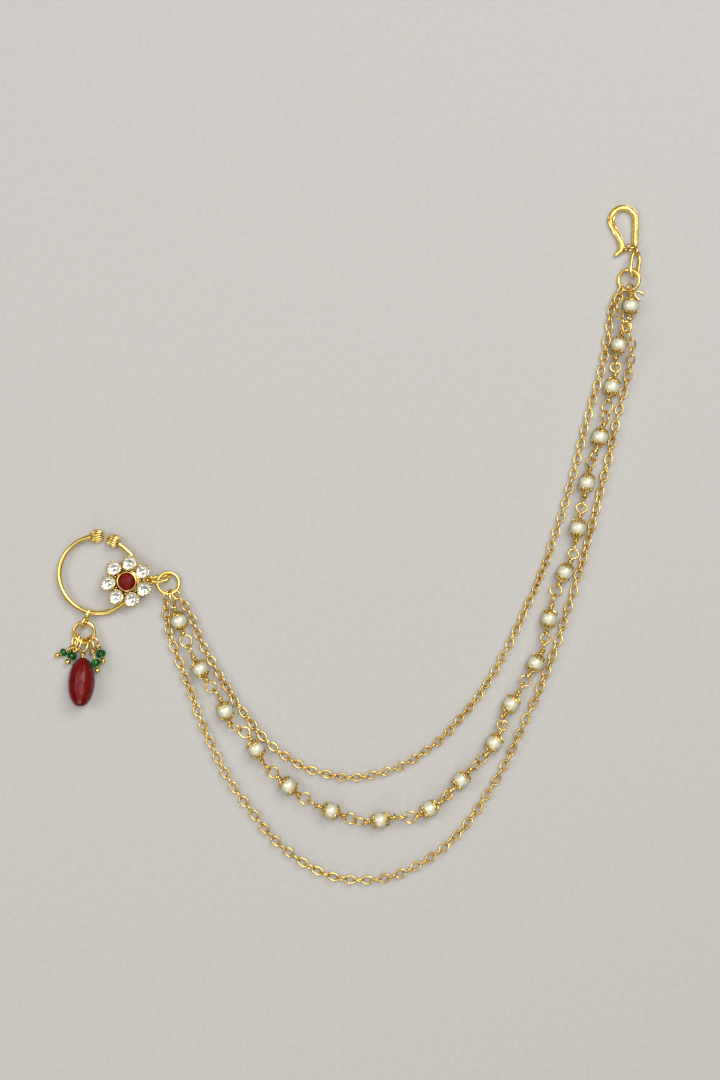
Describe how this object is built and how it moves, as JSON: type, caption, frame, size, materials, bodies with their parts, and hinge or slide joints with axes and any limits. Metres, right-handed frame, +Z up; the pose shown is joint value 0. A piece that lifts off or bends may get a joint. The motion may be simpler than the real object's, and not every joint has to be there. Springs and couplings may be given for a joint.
{
  "type": "nath nose ring",
  "caption": "Gold-coloured nose hoop with a gem flower and a small drop cluster, joined by a pearl strand and two fine cable chains to a hair hook, laid flat",
  "frame": {"origin": "On the surface that the jewel lies on, under the middle of its bounding box", "axes": "+Z up off the surface; +Y from the strand's bend towards the hair hook; +X from the nose hoop towards the hair hook's side"},
  "size_m": [0.1419, 0.1629, 0.0058],
  "materials": {
    "gold": "gold-plated, polished",
    "crystal": "clear faceted",
    "garnet": "opaque matt cabochon",
    "ruby_glass": "polished faceted",
    "green_glass": "polished seed bead",
    "pearl": "pearlescent coating on glass"
  },
  "bodies": {
    "root": {"nath_frame": "gold", "end_bead_1": "gold", "end_bead_2": "gold", "crystal_1": "crystal", "crystal_2": "crystal", "crystal_3": "crystal", "crystal_4": "crystal", "crystal_5": "crystal", "crystal_6": "crystal", "crystal_7": "crystal", "centre_stone": "garnet", "nose_side_ring": "gold", "pendant_ring": "gold", "hook_side_ring": "gold", "flower_link": "gold", "hook_link": "gold", "pearl_01": "pearl", "pearl_pins_01_02": "gold", "pearl_02": "pearl", "pearl_03": "pearl", "pearl_pins_03_04": "gold", "pearl_04": "pearl", "pearl_05": "pearl", "pearl_pins_05_06": "gold", "pearl_06": "pearl", "pearl_07": "pearl", "pearl_pins_07_08": "gold", "pearl_08": "pearl", "pearl_09": "pearl", "pearl_pins_09_10": "gold", "pearl_10": "pearl", "pearl_11": "pearl", "pearl_pins_11_12": "gold", "pearl_12": "pearl", "pearl_13": "pearl", "pearl_pins_13_14": "gold", "pearl_14": "pearl", "pearl_15": "pearl", "pearl_pins_15_16": "gold", "pearl_16": "pearl", "pearl_17": "pearl", "pearl_pins_17_18": "gold", "pearl_18": "pearl", "pearl_19": "pearl", "pearl_pins_19_20": "gold", "pearl_20": "pearl", "outer_chain": "gold", "inner_chain": "gold", "green_bead_1": "green_glass", "green_pin_1": "gold", "green_bead_2": "green_glass", "green_pin_2": "gold", "green_bead_3": "green_glass", "green_pin_3": "gold", "green_bead_4": "green_glass", "green_pin_4": "gold", "red_drop": "ruby_glass", "red_drop_pin": "gold", "hair_hook": "gold", "cut_link": "gold"}
  },
  "joints": []
}
